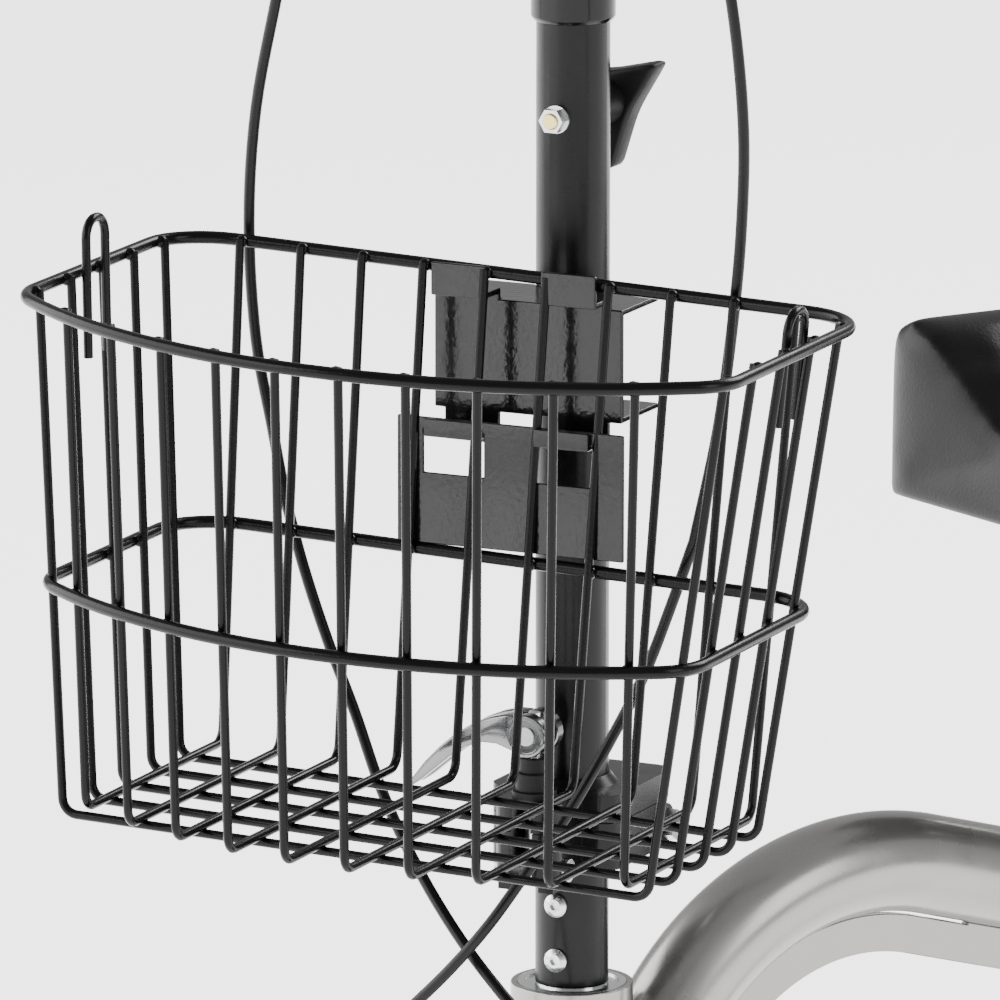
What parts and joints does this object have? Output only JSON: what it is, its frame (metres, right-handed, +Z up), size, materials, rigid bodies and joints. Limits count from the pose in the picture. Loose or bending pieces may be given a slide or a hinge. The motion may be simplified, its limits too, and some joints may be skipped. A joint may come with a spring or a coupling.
{
  "type": "knee scooter",
  "caption": "Four-wheeled knee scooter with a steered front axle, folding column, hanging wire basket, twin front brakes and a contoured knee pad on a height-adjustable post.",
  "frame": {"origin": "on the floor under the middle of the scooter's box at rest", "axes": "-Y forward, +X the rider's left, +Z up"},
  "size_m": [0.4574, 0.9196, 0.9743],
  "materials": {
    "frame_paint": "warm silver metallic paint",
    "satin_black": "satin black powder coat",
    "gloss_black": "glossy black powder coat",
    "zinc": "bright zinc plate",
    "polished_alloy": "polished alloy",
    "black_plastic": "moulded, fine texture",
    "gloss_plastic": "glossy moulded",
    "rubber": "soft grip rubber",
    "tyre": "solid tyre",
    "vinyl": "black upholstery vinyl",
    "cable_jacket": "black cable jacket",
    "wheel_plastic": "grey moulded wheel"
  },
  "bodies": {
    "frame": {"head_tube": "frame_paint", "head_bearings": "zinc", "main_tube": "frame_paint", "gusset_plate": "frame_paint", "pad_sleeve": "frame_paint", "rear_axle_tube": "frame_paint", "rear_axle": "zinc", "rear_axle_nuts": "zinc"},
    "fork": {"steerer": "zinc", "lower_stem": "satin_black", "stem_screws": "zinc", "lower_hinge_plate": "satin_black", "hinge_pins": "zinc", "front_beam": "satin_black", "front_axle": "zinc", "front_axle_nuts": "zinc", "brake_plates": "satin_black", "cable_lower_left": "cable_jacket", "cable_lower_right": "cable_jacket"},
    "column": {"column_tube": "satin_black", "upper_hinge_plate": "satin_black", "basket_hanger": "gloss_black", "column_collar": "gloss_plastic", "height_nut": "zinc", "clamp_bolt": "zinc", "clamp_cup": "black_plastic", "cable_upper_left": "cable_jacket", "cable_upper_right": "cable_jacket"},
    "cam": {"cam_lever": "polished_alloy"},
    "stem_knob": {"height_knob": "black_plastic"},
    "basket": {"basket_net": "gloss_black", "basket_rings": "gloss_black", "basket_plate": "gloss_black"},
    "handlebar": {"handlebar_post": "satin_black", "bar_clamp": "black_plastic", "handlebar": "satin_black", "grips": "rubber", "lever_brackets": "black_plastic"},
    "lever_left": {"brake_lever_left": "polished_alloy"},
    "lever_right": {"brake_lever_right": "polished_alloy"},
    "arm_left": {"brake_arm_left": "zinc"},
    "arm_right": {"brake_arm_right": "zinc"},
    "pad": {"pad_post": "satin_black", "pad_board": "satin_black", "pad_screws": "zinc", "knee_pad": "vinyl"},
    "pad_knob": {"sleeve_knob": "black_plastic"},
    "wheel_front_left": {"tyre_front_left": "tyre", "rim_front_left": "wheel_plastic", "hub_bearings_front_left": "zinc"},
    "wheel_front_right": {"tyre_front_right": "tyre", "rim_front_right": "wheel_plastic", "hub_bearings_front_right": "zinc"},
    "wheel_rear_left": {"tyre_rear_left": "tyre", "rim_rear_left": "wheel_plastic", "hub_bearings_rear_left": "zinc"},
    "wheel_rear_right": {"tyre_rear_right": "tyre", "rim_rear_right": "wheel_plastic", "hub_bearings_rear_right": "zinc"}
  },
  "joints": [
    {"name": "steering", "type": "hinge", "parent": "frame", "child": "fork", "pos_m": [-0.01206, -0.19264, 0.29], "axis": [0, 0, 1], "range_deg": [-75, 15]},
    {"name": "column_fold", "type": "hinge", "parent": "fork", "child": "column", "pos_m": [-0.03083, -0.1596, 0.354], "axis": [-0.8695, -0.4939, 0], "range_deg": [0, 34], "deforming": ["cable_lower_left", "cable_lower_right"]},
    {"name": "handlebar_height", "type": "slide", "parent": "column", "child": "handlebar", "axis": [0, 0, 1], "range_m": [-0.03, 0.09], "deforming": ["cable_upper_left", "cable_upper_right"]},
    {"name": "cam_lever_swing", "type": "hinge", "parent": "column", "child": "cam", "pos_m": [0.00671, -0.22568, 0.408], "axis": [-0.4939, 0.8695, 0], "range_deg": [0, 120]},
    {"name": "height_knob_turn", "type": "hinge", "parent": "column", "child": "stem_knob", "pos_m": [-0.01206, -0.19264, 0.671], "axis": [-0.4939, 0.8695, 0], "continuous": true},
    {"name": "basket_lift", "type": "slide", "parent": "column", "child": "basket", "axis": [0, 0, 1], "range_m": [0, 0.012]},
    {"name": "brake_lever_left_pull", "type": "hinge", "parent": "handlebar", "child": "lever_left", "pos_m": [0.10185, -0.16243, 0.91893], "axis": [-0.2687, -0.1526, 0.9511], "range_deg": [0, 11], "stiffness_Nm_per_rad": 2},
    {"name": "brake_lever_right_pull", "type": "hinge", "parent": "handlebar", "child": "lever_right", "pos_m": [-0.09634, -0.27502, 0.91893], "axis": [-0.2687, -0.1526, -0.9511], "range_deg": [0, 11], "stiffness_Nm_per_rad": 2},
    {"name": "brake_arm_left_turn", "type": "hinge", "parent": "fork", "child": "arm_left", "pos_m": [0.10413, -0.15424, 0.1275], "axis": [-0.8695, -0.4939, 0], "range_deg": [0, 11]},
    {"name": "brake_arm_right_turn", "type": "hinge", "parent": "fork", "child": "arm_right", "pos_m": [-0.10454, -0.27278, 0.1275], "axis": [-0.8695, -0.4939, 0], "range_deg": [0, 11]},
    {"name": "pad_height", "type": "slide", "parent": "frame", "child": "pad", "axis": [0, 0, 1], "range_m": [-0.085, 0.01]},
    {"name": "pad_knob_turn", "type": "hinge", "parent": "frame", "child": "pad_knob", "pos_m": [-0.01206, 0.21236, 0.316], "axis": [0, 1, 0], "continuous": true},
    {"name": "wheel_front_left_spin", "type": "hinge", "parent": "fork", "child": "wheel_front_left", "pos_m": [0.1401, -0.1062, 0.1015], "axis": [0.8695, 0.4939, 0], "continuous": true},
    {"name": "wheel_front_right_spin", "type": "hinge", "parent": "fork", "child": "wheel_front_right", "pos_m": [-0.16422, -0.27908, 0.1015], "axis": [0.8695, 0.4939, 0], "continuous": true},
    {"name": "wheel_rear_left_spin", "type": "hinge", "parent": "frame", "child": "wheel_rear_left", "pos_m": [0.16294, 0.35836, 0.1015], "axis": [1, 0, 0], "continuous": true},
    {"name": "wheel_rear_right_spin", "type": "hinge", "parent": "frame", "child": "wheel_rear_right", "pos_m": [-0.18706, 0.35836, 0.1015], "axis": [1, 0, 0], "continuous": true}
  ],
  "couplings": [
    {"joint": "brake_arm_left_turn", "follows": "brake_lever_right_pull", "ratio": 1},
    {"joint": "brake_arm_right_turn", "follows": "brake_lever_left_pull", "ratio": 1}
  ]
}
